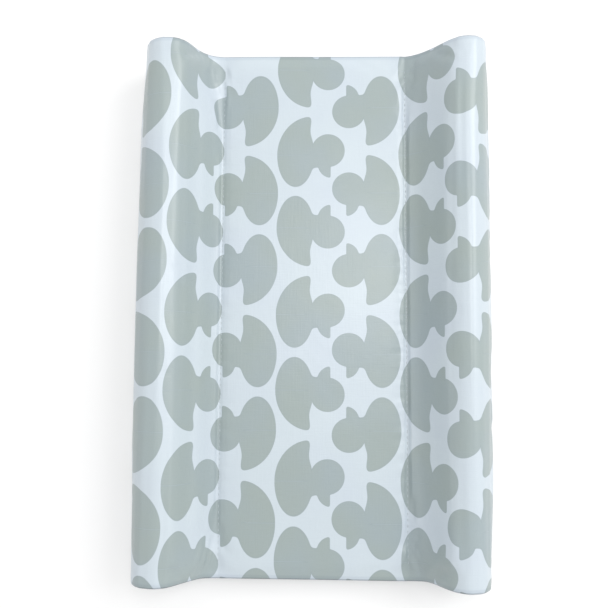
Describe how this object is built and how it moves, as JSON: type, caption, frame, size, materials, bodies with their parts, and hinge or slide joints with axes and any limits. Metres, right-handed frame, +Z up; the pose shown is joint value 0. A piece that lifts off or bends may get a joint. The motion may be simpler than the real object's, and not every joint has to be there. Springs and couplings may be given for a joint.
{
  "type": "changing pad",
  "caption": "Wipe-clean baby changing pad with two raised side bolsters, a shallow trough between them, straight-cut ends and a zip across the foot end.",
  "frame": {"origin": "middle of the underside, on the surface the pad lies on", "axes": "+Z up, +Y towards the head end, +X across the pad to the right of someone at the foot end"},
  "size_m": [0.45, 0.7, 0.1],
  "materials": {
    "printed_coated_cotton": "satin",
    "plain_coated_cotton": "satin",
    "lining_cloth": "matte",
    "filling_foam": "matte",
    "white_thread": "satin",
    "label_satin": "satin",
    "zip_tape": "matte",
    "zip_nylon": "satin",
    "zip_metal": "satin"
  },
  "bodies": {
    "pad": {"top_cover": "printed_coated_cotton", "base_cover": "plain_coated_cotton", "head_end_panel": "printed_coated_cotton", "foot_end_panel": "printed_coated_cotton", "foot_hem_strip": "printed_coated_cotton", "divider_left": "lining_cloth", "divider_right": "lining_cloth", "centre_foam": "filling_foam", "bolster_core_left": "filling_foam", "bolster_core_right": "filling_foam", "topstitch_left": "white_thread", "topstitch_right": "white_thread", "care_label": "label_satin", "zip_tape_upper": "zip_tape", "zip_tape_lower": "zip_tape", "zip_coil_upper": "zip_nylon", "zip_coil_lower": "zip_nylon", "zip_stop_left": "zip_metal", "zip_stop_right": "zip_metal"},
    "slider": {"zip_slider": "zip_metal"},
    "pull": {"zip_pull": "zip_metal"}
  },
  "joints": [
    {"name": "zip_travel", "type": "slide", "parent": "pad", "child": "slider", "axis": [-1, 0, 0], "range_m": [0, 0.379]},
    {"name": "pull_swing", "type": "hinge", "parent": "slider", "child": "pull", "pos_m": [0.1895, -0.34825, 0.017], "axis": [0, 0, 1], "range_deg": [0, 180]}
  ]
}
